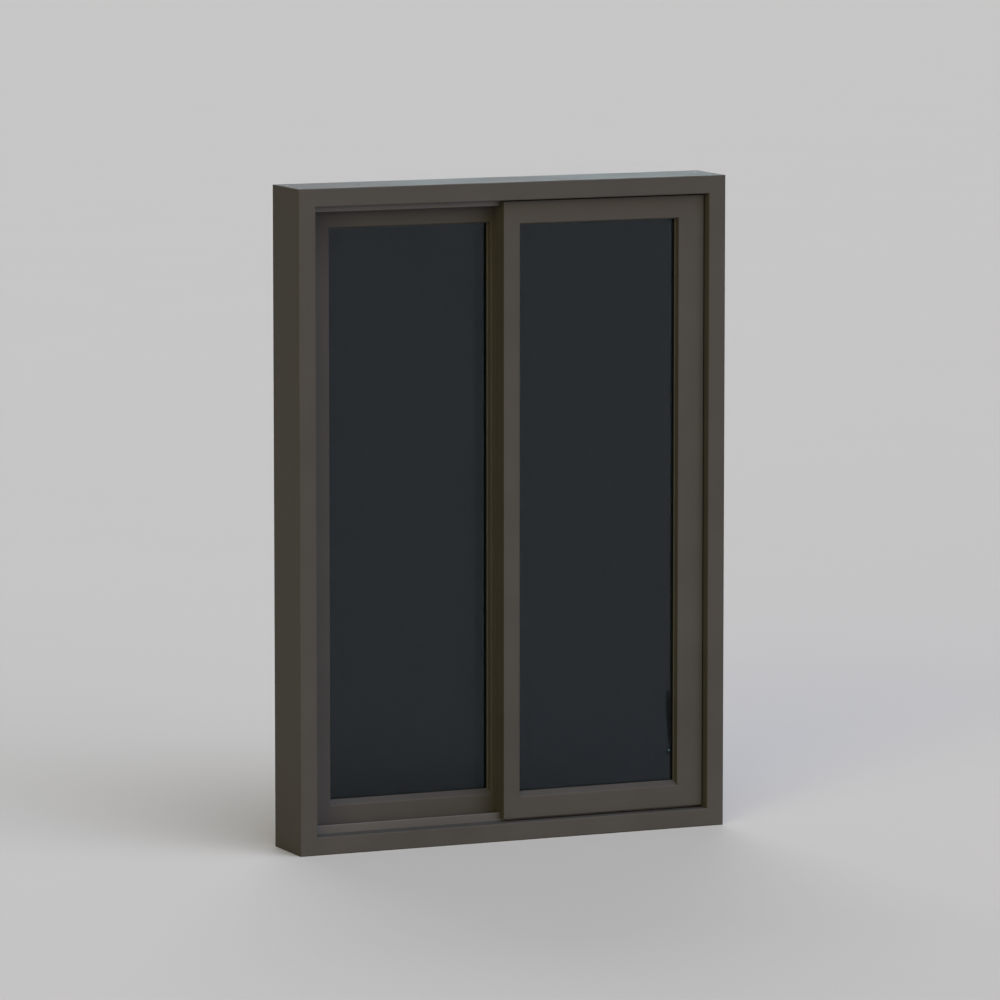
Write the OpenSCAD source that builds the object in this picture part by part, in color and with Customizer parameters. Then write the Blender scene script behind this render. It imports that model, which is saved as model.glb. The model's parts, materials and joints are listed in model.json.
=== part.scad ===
// Horizontal sliding sash window: a deep timber frame, a fixed sash in the inner
// track and a sliding sash in the outer track, on rollers, with a lever handle.
// The origin is at the middle of the foot of the frame. X runs along the width,
// -Y faces outdoors and +Z is up. All sizes are in millimetres.

/* [Frame] */
// Overall width of the frame
win_w = 840; // [700:5:1100]
// Overall height of the frame
win_h = 1200; // [900:5:1500]
// Depth of the frame from outdoor face to indoor face
frame_d = 124; // [116:1:160]
// Width of the frame's face, the same on all four sides
face_w = 33; // [30:0.5:45]
// Radius of the frame's eased edges
frame_ease = 2; // [0.5:0.5:3]

/* [Tracks] */
// Gap between the two sashes where they pass each other
sash_gap = 14.4; // [12:0.2:20]
// Thickness of the guide fins and rails
fin_t = 5; // [4:0.5:6]
// How far the head guides hang below the head
guide_drop = 12; // [9:0.5:14]
// How far the sill rails stand above the sill
rail_rise = 15; // [12:0.5:16]
// Depth that guides and rails are let into the timber
fin_root = 10; // [6:1:14]
// Running space on each side of a fin in the sash's groove
fin_clear = 1.7; // [1:0.1:2.5]
// Free depth of the sash's grooves beyond the edge of a fin
fin_over = 1.8; // [1:0.1:4]

/* [Sashes] */
// Thickness of a sash
sash_t = 38; // [36:1:44]
// Width of the meeting stiles
meet_w = 32; // [30:1:45]
// Width of the lock stile and of the fixed sash's jamb stile
lock_w = 51; // [48:1:65]
// Width of the top rails
top_w = 41; // [38:1:60]
// Timber left between a roller housing and the glass rebate above it
roller_web = 2.5; // [2:0.5:20]
// How far the two meeting stiles lie behind each other
meet_lap = 29.2; // [20:0.2:30]
// Gap between a sash and the jamb beside it
side_gap = 2.4; // [2:0.1:4]
// Gap between a sash and the head
head_gap = 2.7; // [2:0.1:4]
// Gap between a sash and the sill
sill_gap = 4.3; // [3:0.1:5]
// Radius of the sashes' eased edges
sash_ease = 1.5; // [0.5:0.5:2.5]

/* [Glazing] */
// Depth from the sash's outdoor face to the glass
reveal_d = 14; // [10:0.5:16]
// Rise of the bottom rail's weathered slope
slope_rise = 8.9; // [4:0.1:11]
// Radius of the nose below that slope
nose_r = 3; // [1:0.5:4]
// Thickness of one pane
pane_t = 3; // [2.5:0.5:4]
// Depth of the spacer between the panes
spacer_d = 10; // [8:1:12]
// Width of the outdoor gasket that shows round the glass
gasket_show = 2.4; // [1:0.2:4]
// Thickness of the outdoor gasket
gasket_t = 1; // [0.5:0.5:2]
// How far the glass reaches behind its sight line
glass_bite = 12; // [8:0.5:13]
// Gap between the glass's edge and the rebate
glass_gap = 3.5; // [2:0.5:5]
// How far the indoor beads stand back from the outdoor sight line
bead_back = 2.5; // [0:0.5:4]
// Chamfer of the indoor beads
bead_ease = 2; // [0.5:0.5:3]

/* [Rollers] */
// Radius of the tread that runs on the rail
tread_r = 7.5; // [7:0.25:8]
// How far the flanges stand over the tread
flange_h = 2; // [1:0.25:2.5]
// Width of the wheel
wheel_w = 10; // [9:0.5:11]
// Radius of the roller axles
axle_r = 2; // [1.5:0.25:2.5]
// Wall of the roller housing
housing_wall = 1.6; // [1:0.1:2]
// Length of a roller housing
housing_l = 60; // [40:5:90]
// Distance from each end of the sash to a wheel
roller_inset = 90; // [70:5:120]

/* [Handle] */
// Height of the handle's foot above the bottom of the frame
handle_z = 120; // [110:5:600]
// Gap left between the handle and the fixed sash when the window is open
open_gap = 23.5; // [15:0.5:60]
// Length of the handle
handle_h = 122; // [115:1:150]
// Width of the handle's base
handle_w = 22; // [20:1:28]
// Thickness of the base plate
base_t = 4; // [3:0.5:6]
// Projection of the handle's foot
foot_out = 44; // [38:1:50]
// Height of the handle's foot
foot_h = 11; // [8:1:14]
// Projection of the lever at its top
lever_out = 43; // [38:1:50]
// Width of the lever's grip
lever_w = 20; // [16:1:22]
// Radius of the lever's pin
lever_pin_r = 2.5; // [2:0.25:3]

/* [Lock] */
// Height of the hook's pivot above the handle's foot
hook_up = 70; // [60:1:80]
// Distance from the sash's edge to the hook's pivot
hook_set = 13; // [12:0.5:14]
// Outer radius of the hook's beak
hook_r = 26; // [25.5:0.25:27]
// Thickness of the hook
hook_t = 6; // [4:0.5:8]
// Radius of the hook's pin
hook_pin_r = 2.5; // [2:0.25:3]
// Depth of the lock case in the stile
case_d = 30; // [29:0.5:32]
// Thickness of the lock case
case_t = 16; // [14:0.5:18]

/* [Fixings] */
// Radius of the installation holes in head and sill
fix_r = 3; // [2.5:0.25:4]
// Distance between the two installation holes in head and sill
fix_spacing = 560; // [300:10:600]
// Radius of the sinking for those screws' heads
sink_r = 6; // [5:0.5:7]
// Depth of that sinking
sink_d = 4; // [3:0.5:6]
// Radius of the part's own screws
screw_r = 2; // [1.5:0.25:2.25]
// Distance of the corner screws from the middle of the frame's depth
corner_y = 31; // [28:1:36]

/* [Hidden] */

paint = "#4e4a48";
metal = "#8d8f92";
black = "#17181a";
glass = "#27303666";

over = 1;             // how far a cutter passes through what it cuts
fit = 0.2;            // clearance of a part let into timber
run = 0.05;           // radial clearance of a pin in its bore
seat = 0.3;           // gap left under a part that rests on or brushes another
arc_n = 6;            // segments in each eased edge

// Inside of the frame
in_x = win_w / 2 - face_w;
in_z0 = face_w;
in_z1 = win_h - face_w;
out_y = -frame_d / 2;

// Outline of the sliding sash; the fixed sash mirrors it in the inner track
track_pitch = sash_t + sash_gap;
track_y = -track_pitch / 2;
sash_x0 = -meet_lap / 2;
sash_x1 = in_x - side_gap;
sash_z0 = in_z0 + sill_gap;
sash_z1 = in_z1 - head_gap;
sash_y0 = track_y - sash_t / 2;
sash_y1 = track_y + sash_t / 2;

// Fins and the grooves that run on them
groove_w = fin_t + 2 * fin_clear;
top_groove = guide_drop - head_gap + fin_over;
foot_groove = rail_rise - sill_gap + fin_over;
fin_tip = 1;          // rounding of a fin's free edge
rail_top = in_z0 + rail_rise;
strip_gap = 1;        // strips on the sashes end clear of the fins
fin_end0 = rail_top + strip_gap;
fin_end1 = in_z1 - guide_drop - strip_gap;

// Rollers
wheel_z = rail_top + seat + tread_r;
wheel_r = tread_r + flange_h;
wheel_x0 = sash_x0 + roller_inset;
wheel_x1 = sash_x1 - roller_inset;
wheel_side = 0.3;
wheel_over = 0.5;
tread_w = fin_t + 2 * wheel_side;
flange_slope = 0.6;
housing_in = wheel_w + 2 * wheel_side;
housing_w = housing_in + 2 * housing_wall;
housing_top = wheel_z + wheel_r + wheel_over + housing_wall;

// Sash opening at the outdoor face, and the glass seen through it; the bottom rail
// is as high as the roller housings in it need
rebate = glass_bite + glass_gap;
sight_z0 = housing_top + fit + roller_web + rebate;
open_x0 = sash_x0 + meet_w;
open_x1 = sash_x1 - lock_w;
open_z0 = sight_z0 - slope_rise;
open_z1 = sash_z1 - top_w;
sight_x0 = open_x0 + gasket_show;
sight_x1 = open_x1 - gasket_show;
sight_z1 = open_z1 - gasket_show;
glass_y0 = sash_y0 + reveal_d;
glass_y1 = glass_y0 + 2 * pane_t + spacer_d;
lip_y = glass_y0 - gasket_t;
block_l = 60;
block_end = 70;

// Travel, until the handle comes near the fixed sash, and the stops that end it
handle_x = sash_x1 - lock_w / 2;
travel = handle_x - handle_w / 2 + sash_x0 - open_gap;
stop_l = 20;
stop_w = 10;
stop_h = 9;
stop_gap = 2;         // from the sash's groove to a stop
stop_ease = 1;
stop_x = sash_x0 - travel - seat;

// Side seals
seal_w = 5;
seal_in = 9;          // from the sash's outdoor face
seal_y = sash_y0 + seal_in;

// Interlock of the meeting stiles
lock_leg = 2;         // thickness of the interlock's metal
lock_base = 22;
lock_gap = 0.5;       // from one interlock's flange to the other's base
lock_reach = sash_gap - lock_leg - lock_gap;
lock_flange = 14;
lock_inset = 3;

// Handle: p is measured from the sash's indoor face, z from the handle's foot
pivot_p = 10;
pivot_down = 9;       // from the handle's top to the lever's pin
pivot_z = handle_h - pivot_down;
hub_r = 5.5;
hub_w = 12;
hub_side = 0.3;
lug_r = 8;
lug_gap = 1.5;        // from a lug to the lever's arm
tail_w = 5;
tail_h = 5;
tail_side = 1;        // room on each side of the lever's tail
tail_down = 18;       // room under the tail as the lever is lifted
tail_up = 6;
base_ease = 1;
foot_ease = 2;
foot_screw = 14;      // from the handle's foot up to its lower screw
top_screw = 24;       // from the lever's pin down to its upper screw

// Lever: an arm over the lugs and a grip that bows outwards and tapers downwards
arm_h = 16;
arm_t = 14;
grip_t = 11;          // thickness of the grip at its free end
grip_in = 9;          // how far the free end stands nearer the sash than the top
grip_gap = 3;         // from the free end to the handle's foot
grip_ease = 3;
end_ease = 2;
bow_out = 9;          // reach of the curves that bow the grip outwards
bow_in = 7;
bow_top = 24;
bow_low = 72;         // where the bow turns back, below the top
curve_n = 24;

// Lock; angles are the hook's when it is home in the keeper
hook_z = handle_z + hook_up;
case_wall = 1.5;
case_p = (sash_t - case_t) / 2;          // from the sash's indoor face to the case
tail_l = pivot_p + case_p + case_wall;
hook_x = sash_x1 - hook_set;
hook_turn = 98;       // angle between hook drawn in and hook home
beak_w = 6;
beak_a = 25;
arm_a0 = -12;
arm_a1 = 2;
hook_hub = 7;
face_t = 2.5;         // thickness of the lock's face plate
keeper_t = 2;
case_down = 40;       // lock case below the hook's pivot and above the lever's pin
case_up = 12;
case_z0 = hook_z - case_down;
case_z1 = handle_z + pivot_z + case_up;
slot_w = hook_t + 3;
slot_in = 1;          // the face plate's slot, from the hook's reach and above its pivot
slot_up = 3.5;
slot_z0 = hook_z - hook_r + slot_in;
slot_z1 = hook_z + slot_up;
keep_in = 3;          // the keeper's slot, likewise
keep_up = 2.6;
keep_z0 = hook_z - hook_r + keep_in;
keep_z1 = hook_z + keep_up;
beak_up = 3;          // room above the beak behind the keeper
beak_out = 2.5;       // and beyond its tip
pocket_z1 = hook_z + hook_r * sin(beak_a) + beak_up;
pocket_d = hook_r - hook_set - side_gap + beak_out;
plate_w = case_t + 2;
plate_end = 12;       // face plate past each end of its case or slot

// Screws
head_r = 2 * screw_r;
head_h = screw_r;
hole_r = screw_r + run;
tip_gap = 0.5;        // hole beyond a screw's tip
corner_len = 62;
bracket_in_len = 13;
bracket_down_len = 15;
keeper_len = 19;
lock_len = 19;
handle_len = base_t + case_p - 3;        // ends 3 short of the lock case
bracket_inset = 110;  // from each end of the fixed sash
bracket_l = 24;
bracket_t = 2;
bracket_up = 22;
bracket_out = 15;
bracket_tip = 7;      // from the upright leg's edge to its screw
bracket_hole = 8.5;   // from the sash to the flat leg's screw

// ---------- shapes ----------

// Points of an arc about c, from angle a0 to angle a1
function arc(c, r, a0, a1, n = arc_n) =
    [for (i = [0:n]) let (a = a0 + (a1 - a0) * i / n) c + r * [cos(a), sin(a)]];

// Rectangle with four rounded corners
function eased_rect(a0, a1, b0, b1, r) = concat(
    arc([a0 + r, b0 + r], r, 180, 270), arc([a1 - r, b0 + r], r, 270, 360),
    arc([a1 - r, b1 - r], r, 0, 90), arc([a0 + r, b1 - r], r, 90, 180));

// The same arc, left out where its radius is nothing
function arc_if(c, r, a0, a1) = r > 0 ? arc(c, r, a0, a1) : [];

// Section of a hole from b0 to b1 whose mouths flare over rounded edges r0 and r1
function flared(a0, a1, b0, b1, r0, r1) = concat(
    [[a0 - r0, b0 - over]], arc_if([a0 - r0, b0 + r0], r0, -90, 0),
    arc_if([a0 - r1, b1 - r1], r1, 0, 90), [[a0 - r1, b1 + over]],
    [[a1 + r1, b1 + over]], arc_if([a1 + r1, b1 - r1], r1, 90, 180),
    arc_if([a1 + r0, b0 + r0], r0, 180, 270), [[a1 + r0, b0 - over]]);

// Cubic curve through four control points
function bezier(p, n) = [for (i = [0:n]) let (t = i / n, s = 1 - t)
    s * s * s * p[0] + 3 * s * s * t * p[1] + 3 * s * t * t * p[2] + t * t * t * p[3]];

// Block between two corners. Its outline is a polygon, which keeps X and Y exact, so
// that blocks with a side in one plane meet there without a sliver.
module box(x0, x1, y0, y1, z0, z1)
    along_z(z0, z1) polygon([[x0, y0], [x1, y0], [x1, y1], [x0, y1]]);

// Extrude a shape drawn in Y and Z along X
module along_x(x0, x1)
    translate([x0, 0, 0]) rotate([90, 0, 90]) linear_extrude(x1 - x0) children();

// Extrude a shape drawn in X and Z along Y
module along_y(y0, y1)
    translate([0, y1, 0]) rotate([90, 0, 0]) linear_extrude(y1 - y0) children();

module along_z(z0, z1)
    translate([0, 0, z0]) linear_extrude(z1 - z0) children();

// Block with its outdoor and indoor edges eased
module eased_block(x0, x1, y0, y1, z0, z1, r) intersection() {
    along_z(z0, z1) polygon(eased_rect(x0, x1, y0, y1, r));
    along_x(x0, x1) polygon(eased_rect(y0, y1, z0, z1, r));
}

// Rectangular ring between an outer and an inner outline
module ring(x0, x1, y0, y1, z0, z1, w) difference() {
    box(x0, x1, y0, y1, z0, z1);
    box(x0 + w, x1 - w, y0 - over, y1 + over, z0 + w, z1 - w);
}

module pin_x(x0, x1, y, z, r)
    translate([x0, y, z]) rotate([0, 90, 0]) cylinder(h = x1 - x0, r = r, $fn = 32);

module pin_y(x, y0, y1, z, r)
    translate([x, y1, z]) rotate([90, 0, 0]) cylinder(h = y1 - y0, r = r, $fn = 32);

module pin_z(x, y, z0, z1, r)
    translate([x, y, z0]) cylinder(h = z1 - z0, r = r, $fn = 32);

// Countersunk screw along -Z with its head's face at the origin
module screw(len) {
    translate([0, 0, -head_h]) cylinder(h = head_h, r1 = screw_r, r2 = head_r, $fn = 32);
    translate([0, 0, -len]) cylinder(h = len - head_h / 2, r = screw_r, $fn = 32);
}

// Countersunk hole that takes the same screw
module screw_hole(len) {
    translate([0, 0, -head_h])
        cylinder(h = head_h, r1 = hole_r, r2 = head_r + run, $fn = 32);
    cylinder(h = over, r = head_r + run, $fn = 32);
    translate([0, 0, -len - tip_gap]) cylinder(h = len, r = hole_r, $fn = 32);
}

// ---------- frame ----------

module frame_ring() difference() {
    eased_block(-win_w / 2, win_w / 2, out_y, -out_y, 0, win_h, frame_ease);
    intersection() {
        along_z(0, win_h)
            polygon(flared(-in_x, in_x, out_y, -out_y, frame_ease, frame_ease));
        along_x(-win_w / 2, win_w / 2) polygon([
            for (p = flared(in_z0, in_z1, out_y, -out_y, frame_ease, frame_ease))
                [p[1], p[0]]]);
    }
}

// Region of the head or sill between its mitres; side is 1 for the head
module mitre_flat(side) {
    z_out = side > 0 ? win_h : 0;
    z_in = side > 0 ? in_z1 : in_z0;
    x_out = win_w / 2;
    along_y(out_y - over, -out_y + over) polygon([
        [-x_out, z_out], [x_out, z_out], [in_x, z_in], [-in_x, z_in]]);
}

// Region of a jamb between its mitres; side is 1 for the right jamb
module mitre_upright(side) {
    x_out = side * win_w / 2;
    along_y(out_y - over, -out_y + over) polygon([
        [x_out, 0], [x_out, win_h], [side * in_x, in_z1], [side * in_x, in_z0]]);
}

// Screws through head and sill into the ends of the jambs, two at each corner
module corner_screw_places() for (sx = [-1, 1], y = [-1, 1] * corner_y)
    translate([sx * (win_w / 2 - face_w / 2), y, 0]) {
        translate([0, 0, win_h - seat]) children();
        translate([0, 0, seat]) rotate([180, 0, 0]) children();
    }

// Installation holes through head and sill, sunk for the screw's head indoors
module install_holes() for (x = [-1, 1] * fix_spacing / 2) {
    pin_z(x, 0, -over, win_h + over, fix_r);
    for (z = [in_z0, in_z1])
        translate([x, 0, z])
            cylinder(h = 2 * sink_d, r = sink_r, center = true, $fn = 32);
}

// Bar standing out of the head (up = 1) or sill (up = 0) in a track
module fin(y, up) {
    z0 = up ? in_z1 - guide_drop : in_z0 - fin_root;
    z1 = up ? in_z1 + fin_root : rail_top;
    along_x(-in_x + seat, in_x - seat)
        polygon(eased_rect(y - fin_t / 2, y + fin_t / 2, z0, z1, fin_tip));
}

module fin_grooves(up) for (y = [-1, 1] * track_y) {
    z0 = up ? in_z1 - over : in_z0 - fin_root - fit;
    z1 = up ? in_z1 + fin_root + fit : in_z0 + over;
    box(-in_x, in_x, y - fin_t / 2 - run, y + fin_t / 2 + run, z0, z1);
}

module frame_head() color(paint) difference() {
    intersection() { frame_ring(); mitre_flat(1); }
    corner_screw_places() screw_hole(corner_len);
    install_holes();
    fin_grooves(true);
    bracket_places() bracket_down() screw_hole(bracket_down_len);
}

module frame_sill() color(paint) difference() {
    intersection() { frame_ring(); mitre_flat(0); }
    corner_screw_places() screw_hole(corner_len);
    install_holes();
    fin_grooves(false);
    bracket_places() bracket_down() screw_hole(bracket_down_len);
}

module frame_left_jamb() color(paint) difference() {
    intersection() { frame_ring(); mitre_upright(-1); }
    corner_screw_places() screw_hole(corner_len);
}

module frame_right_jamb() color(paint) difference() {
    intersection() { frame_ring(); mitre_upright(1); }
    corner_screw_places() screw_hole(corner_len);
    keeper_shape(fit, keeper_t);
    box(in_x + keeper_t - over, in_x + pocket_d, track_y - slot_w / 2,
        track_y + slot_w / 2, keep_z0, pocket_z1);
    keeper_screw_places() screw_hole(keeper_len);
}

module frame_screws() color(metal) corner_screw_places() screw(corner_len);

module outer_head_guide() color(paint) fin(track_y, true);
module inner_head_guide() color(paint) fin(-track_y, true);
module outer_sill_rail() color(paint) fin(track_y, false);
module inner_sill_rail() color(paint) fin(-track_y, false);

// Stops behind the outer fins that end the sliding sash's travel
module travel_stops() color(black) {
    y0 = track_y + groove_w / 2 + stop_gap;
    eased_block(stop_x - stop_l, stop_x, y0, y0 + stop_w, in_z0, in_z0 + stop_h,
        stop_ease);
    eased_block(stop_x - stop_l, stop_x, y0, y0 + stop_w, in_z1 - stop_h, in_z1,
        stop_ease);
}

// Brush seal in the gap beside a sash
module side_seal(z0, z1)
    box(sash_x1 + seat, in_x, seal_y, seal_y + seal_w, z0, z1);

module closing_seal() color(black)
    side_seal(fin_end0, fin_end1);

module fixed_side_seal() color(black)
    fixed_place() side_seal(fin_end0, fin_end1);

// Keeper plate's outline, grown by gap
module keeper_shape(gap, t)
    box(in_x - (gap > 0 ? over : 0), in_x + t, track_y - plate_w / 2 - gap,
        track_y + plate_w / 2 + gap, keep_z0 - plate_end - gap,
        pocket_z1 + plate_end + gap);

module keeper_screw_places()
    for (z = [keep_z0 - plate_end / 2, pocket_z1 + plate_end / 2])
        translate([in_x, track_y, z]) rotate([0, -90, 0]) children();

module keeper_plate() color(metal) difference() {
    keeper_shape(0, keeper_t);
    box(in_x - over, in_x + keeper_t + over, track_y - slot_w / 2, track_y + slot_w / 2,
        keep_z0, keep_z1);
    keeper_screw_places() screw_hole(keeper_len);
}

module keeper_screws() color(metal) keeper_screw_places() screw(keeper_len);

// ---------- sashes ----------

// The fixed sash is the sliding one, mirrored and moved to the inner track
module fixed_place() translate([0, track_pitch, 0]) mirror([1, 0, 0]) children();

// Section of the opening in Y and Z: rounded head edge, weathered slope at the foot
function opening_yz() =
    let (run_d = lip_y - sash_y0, a = atan2(slope_rise, run_d),
         tl = nose_r * (1 - sin(a)) / cos(a), e = sash_ease)
    concat(
        [[sash_y0 - over, open_z0 - tl]],
        arc([sash_y0 + nose_r, open_z0 - tl], nose_r, 180, 90 + a),
        [[lip_y, sight_z0], [lip_y + over, sight_z0], [lip_y + over, open_z1]],
        arc([sash_y0 + e, open_z1 + e], e, 270, 180),
        [[sash_y0 - over, open_z1 + e]]);

module sash_ring() difference() {
    eased_block(sash_x0, sash_x1, sash_y0, sash_y1, sash_z0, sash_z1, sash_ease);
    intersection() {
        along_z(sash_z0, sash_z1)
            polygon(flared(open_x0, open_x1, sash_y0, lip_y + over, sash_ease, 0));
        along_x(sash_x0, sash_x1) polygon(opening_yz());
    }
    box(sight_x0 - rebate, sight_x1 + rebate, lip_y, sash_y1 + over,
        sight_z0 - rebate, sight_z1 + rebate);
    for (z = [[sash_z0 - over, sash_z0 + foot_groove], [sash_z1 - top_groove, sash_z1 + over]])
        box(sash_x0 - over, sash_x1 + over, track_y - groove_w / 2,
            track_y + groove_w / 2, z[0], z[1]);
}

module meeting_stile() intersection() {
    sash_ring();
    box(sash_x0 - over, open_x0, sash_y0 - over, sash_y1 + over,
        sash_z0 - over, sash_z1 + over);
}

module jamb_stile() intersection() {
    sash_ring();
    box(open_x1, sash_x1 + over, sash_y0 - over, sash_y1 + over,
        sash_z0 - over, sash_z1 + over);
}

module top_rail() intersection() {
    sash_ring();
    box(open_x0, open_x1, sash_y0 - over, sash_y1 + over, win_h / 2, sash_z1 + over);
}

module bottom_rail() intersection() {
    sash_ring();
    box(open_x0, open_x1, sash_y0 - over, sash_y1 + over, sash_z0 - over, win_h / 2);
}

module pane(y0) box(sight_x0 - glass_bite, sight_x1 + glass_bite, y0, y0 + pane_t,
    sight_z0 - glass_bite, sight_z1 + glass_bite);

module spacer() ring(sight_x0 - glass_bite, sight_x1 + glass_bite, glass_y0 + pane_t,
    glass_y0 + pane_t + spacer_d, sight_z0 - glass_bite, sight_z1 + glass_bite,
    glass_bite);

// Outdoor gasket between the sash's lip and the glass
module gasket() ring(sight_x0 - glass_bite, sight_x1 + glass_bite, lip_y, glass_y0,
    sight_z0 - glass_bite, sight_z1 + glass_bite, glass_bite);

module setting_blocks()
    for (x = [sight_x0 + block_end, sight_x1 - block_end - block_l])
        box(x, x + block_l, glass_y0, glass_y1, sight_z0 - rebate,
            sight_z0 - glass_bite);

// Indoor glazing beads as one ring; each bead is a piece of it
module bead_ring() difference() {
    box(sight_x0 - rebate, sight_x1 + rebate, glass_y1, sash_y1,
        sight_z0 - rebate, sight_z1 + rebate);
    intersection() {
        along_z(sash_z0, sash_z1) polygon(flared(open_x0 - bead_back,
            open_x1 + bead_back, glass_y1, sash_y1, 0, bead_ease));
        along_x(sash_x0, sash_x1) polygon([for (p = flared(sight_z0 - gasket_show -
            bead_back, open_z1 + bead_back, glass_y1, sash_y1, 0, bead_ease))
            [p[1], p[0]]]);
    }
}

module side_bead(side) intersection() {
    bead_ring();
    box(side > 0 ? open_x1 + bead_back : sash_x0,
        side > 0 ? sash_x1 : open_x0 - bead_back,
        sash_y0, sash_y1 + over, sash_z0, sash_z1);
}

module flat_bead(side) intersection() {
    bead_ring();
    box(open_x0 - bead_back, open_x1 + bead_back, sash_y0, sash_y1 + over,
        side > 0 ? win_h / 2 : sash_z0, side > 0 ? sash_z1 : win_h / 2);
}

// Interlock strip on a meeting stile: base, leg and flange. s is 1 on the sliding
// sash's indoor face and -1 on the fixed sash's outdoor face.
module interlock(s) {
    b = lock_base;
    f = lock_flange;
    r = lock_reach;
    t = lock_leg;
    translate([s * (sash_x0 + lock_inset), s > 0 ? sash_y1 : sash_y1 + track_pitch - sash_t, 0])
        along_z(fin_end0, fin_end1) polygon(s * [
            [0, 0], [b, 0], [b, t], [t, t], [t, r - t], [f, r - t], [f, r], [0, r]]);
}

// ---------- fixed sash ----------

module fixed_jamb_stile() color(paint) difference() {
    fixed_place() jamb_stile();
    bracket_places() bracket_in() screw_hole(bracket_in_len);
}
module fixed_meeting_stile() color(paint) fixed_place() meeting_stile();
module fixed_top_rail() color(paint) difference() {
    fixed_place() top_rail();
    bracket_places() bracket_in() screw_hole(bracket_in_len);
}
module fixed_bottom_rail() color(paint) difference() {
    fixed_place() bottom_rail();
    bracket_places() bracket_in() screw_hole(bracket_in_len);
}
module fixed_outer_pane() color(glass) fixed_place() pane(glass_y0);
module fixed_inner_pane() color(glass) fixed_place() pane(glass_y1 - pane_t);
module fixed_spacer() color(black) fixed_place() spacer();
module fixed_gasket() color(paint) fixed_place() gasket();
module fixed_setting_blocks() color(black) fixed_place() setting_blocks();
module fixed_left_bead() color(paint) fixed_place() side_bead(1);
module fixed_right_bead() color(paint) fixed_place() side_bead(-1);
module fixed_top_bead() color(paint) fixed_place() flat_bead(1);
module fixed_bottom_bead() color(paint) fixed_place() flat_bead(-1);
module fixed_interlock() color(paint) interlock(-1);

// Packers that carry the fixed sash on the inner rail
module fixed_packers() color(black) fixed_place()
    for (x = [wheel_x0, wheel_x1])
        box(x - block_l / 2, x + block_l / 2, track_y - fin_t / 2, track_y + fin_t / 2,
            rail_top, sash_z0 + foot_groove);

// Angle brackets that hold the fixed sash from indoors, on the sill and the head
module bracket_places()
    for (x = [bracket_inset - sash_x1, -sash_x0 - bracket_inset], s = [0, 1])
        translate([x, sash_y1 + track_pitch, s ? in_z1 : in_z0]) mirror([0, 0, s])
            children();

module bracket_in() translate([0, bracket_t, bracket_up - bracket_tip])
    rotate([-90, 0, 0]) children();
module bracket_down() translate([0, bracket_hole, bracket_t]) children();

module fixing_brackets() color(metal) bracket_places() difference() {
    along_x(-bracket_l / 2, bracket_l / 2) polygon([
        [0, 0], [bracket_out, 0], [bracket_out, bracket_t], [bracket_t, bracket_t],
        [bracket_t, bracket_up], [0, bracket_up]]);
    bracket_in() screw_hole(bracket_in_len);
    bracket_down() screw_hole(bracket_down_len);
}

module bracket_screws() color(metal) bracket_places() {
    bracket_in() screw(bracket_in_len);
    bracket_down() screw(bracket_down_len);
}

// ---------- sliding sash ----------

module sliding_lock_stile() color(paint) difference() {
    jamb_stile();
    lock_mortise();
    tail_slot();
    handle_screw_places() screw_hole(handle_len);
    lock_screw_places() screw_hole(lock_len);
    housing_rooms();
}
module sliding_meeting_stile() color(paint) difference() {
    meeting_stile();
    housing_rooms();
}
module sliding_top_rail() color(paint) top_rail();
module sliding_bottom_rail() color(paint) difference() {
    bottom_rail();
    housing_rooms();
}
module sliding_outer_pane() color(glass) pane(glass_y0);
module sliding_inner_pane() color(glass) pane(glass_y1 - pane_t);
module sliding_spacer() color(black) spacer();
module sliding_gasket() color(paint) gasket();
module sliding_setting_blocks() color(black) setting_blocks();
module sliding_left_bead() color(paint) side_bead(-1);
module sliding_right_bead() color(paint) side_bead(1);
module sliding_top_bead() color(paint) flat_bead(1);
module sliding_bottom_bead() color(paint) flat_bead(-1);
module sliding_interlock() color(paint) interlock(1);

// Brush on the sliding interlock's flange that closes on the fixed one
module interlock_pile() color(black) {
    x = sash_x0 + lock_inset + lock_flange;
    y = sash_y1 + lock_reach - lock_leg;
    y_far = sash_y1 + track_pitch - sash_t - lock_reach + lock_leg;
    box(x - seal_w, x, y_far + seat, y, fin_end0, fin_end1);
}

// ---------- rollers ----------

// Rooms for the roller housings in the foot of the sash
module housing_rooms() for (x = [wheel_x0, wheel_x1])
    box(x - housing_l / 2 - fit, x + housing_l / 2 + fit,
        track_y - housing_w / 2 - fit, track_y + housing_w / 2 + fit,
        sash_z0 - over, housing_top + fit);

module roller_housings() color(metal) for (x = [wheel_x0, wheel_x1]) difference() {
    box(x - housing_l / 2, x + housing_l / 2, track_y - housing_w / 2,
        track_y + housing_w / 2, sash_z0, housing_top);
    box(x - housing_l / 2 - over, x + housing_l / 2 + over, track_y - housing_in / 2,
        track_y + housing_in / 2, sash_z0 - over, housing_top - housing_wall);
    pin_y(x, track_y - housing_w, track_y + housing_w, wheel_z, axle_r + run);
}

module roller_axles() color(metal) for (x = [wheel_x0, wheel_x1])
    pin_y(x, track_y - housing_w / 2, track_y + housing_w / 2, wheel_z, axle_r);

// Grooved wheel on an axle along Y, as a turned section
module roller(x) color(black)
    translate([x, track_y, wheel_z]) rotate([90, 0, 0]) rotate_extrude($fn = 64) polygon([
        [axle_r + run, -wheel_w / 2], [wheel_r, -wheel_w / 2], 
        [wheel_r, -tread_w / 2 - flange_slope],
        [tread_r, -tread_w / 2], [tread_r, tread_w / 2], 
        [wheel_r, tread_w / 2 + flange_slope],
        [wheel_r, wheel_w / 2], [axle_r + run, wheel_w / 2]]);

module left_roller() roller(wheel_x0);
module right_roller() roller(wheel_x1);

// ---------- handle ----------

module handle_place() translate([handle_x, sash_y1, handle_z]) children();

module handle_screw_places() handle_place()
    for (z = [foot_h + foot_screw, pivot_z - top_screw])
        translate([0, base_t, z]) rotate([-90, 0, 0]) children();

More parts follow.
